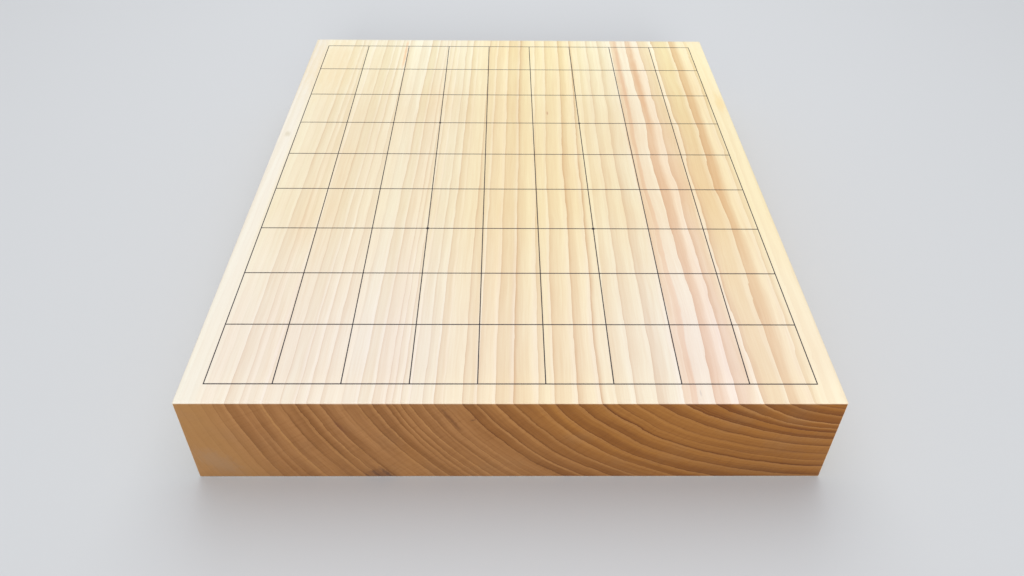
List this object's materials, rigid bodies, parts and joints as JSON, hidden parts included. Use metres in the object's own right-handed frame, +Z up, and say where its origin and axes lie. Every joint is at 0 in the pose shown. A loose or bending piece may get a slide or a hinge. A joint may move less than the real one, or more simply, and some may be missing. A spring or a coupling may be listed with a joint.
{
  "type": "shogi board",
  "caption": "Desk shogi board: one thick plank of pale wood with rounded edges, a raised black lacquer grid of squares on top and dots at the promotion zones.",
  "frame": {"origin": "centre of the underside, on the surface that the board lies on", "axes": "+Z up through the playing surface, +Y away from the near player along the longer side, +X to the near player's right"},
  "size_m": [0.333, 0.364, 0.0644],
  "materials": {
    "board_wood": "planed and lightly waxed, straight stripes on top, curved growth rings on the ends",
    "line_lacquer": "raised black lacquer, glossy, drawn in one stroke",
    "star_lacquer": "raised black lacquer, glossy, set down as a drop"
  },
  "bodies": {
    "root": {"board_slab": "board_wood", "file_line_01": "line_lacquer", "file_line_02": "line_lacquer", "file_line_03": "line_lacquer", "file_line_04": "line_lacquer", "file_line_05": "line_lacquer", "file_line_06": "line_lacquer", "file_line_07": "line_lacquer", "file_line_08": "line_lacquer", "file_line_09": "line_lacquer", "file_line_10": "line_lacquer", "rank_line_01": "line_lacquer", "rank_line_02": "line_lacquer", "rank_line_03": "line_lacquer", "rank_line_04": "line_lacquer", "rank_line_05": "line_lacquer", "rank_line_06": "line_lacquer", "rank_line_07": "line_lacquer", "rank_line_08": "line_lacquer", "rank_line_09": "line_lacquer", "rank_line_10": "line_lacquer", "star_near_left": "star_lacquer", "star_near_right": "star_lacquer", "star_far_left": "star_lacquer", "star_far_right": "star_lacquer"}
  },
  "joints": []
}
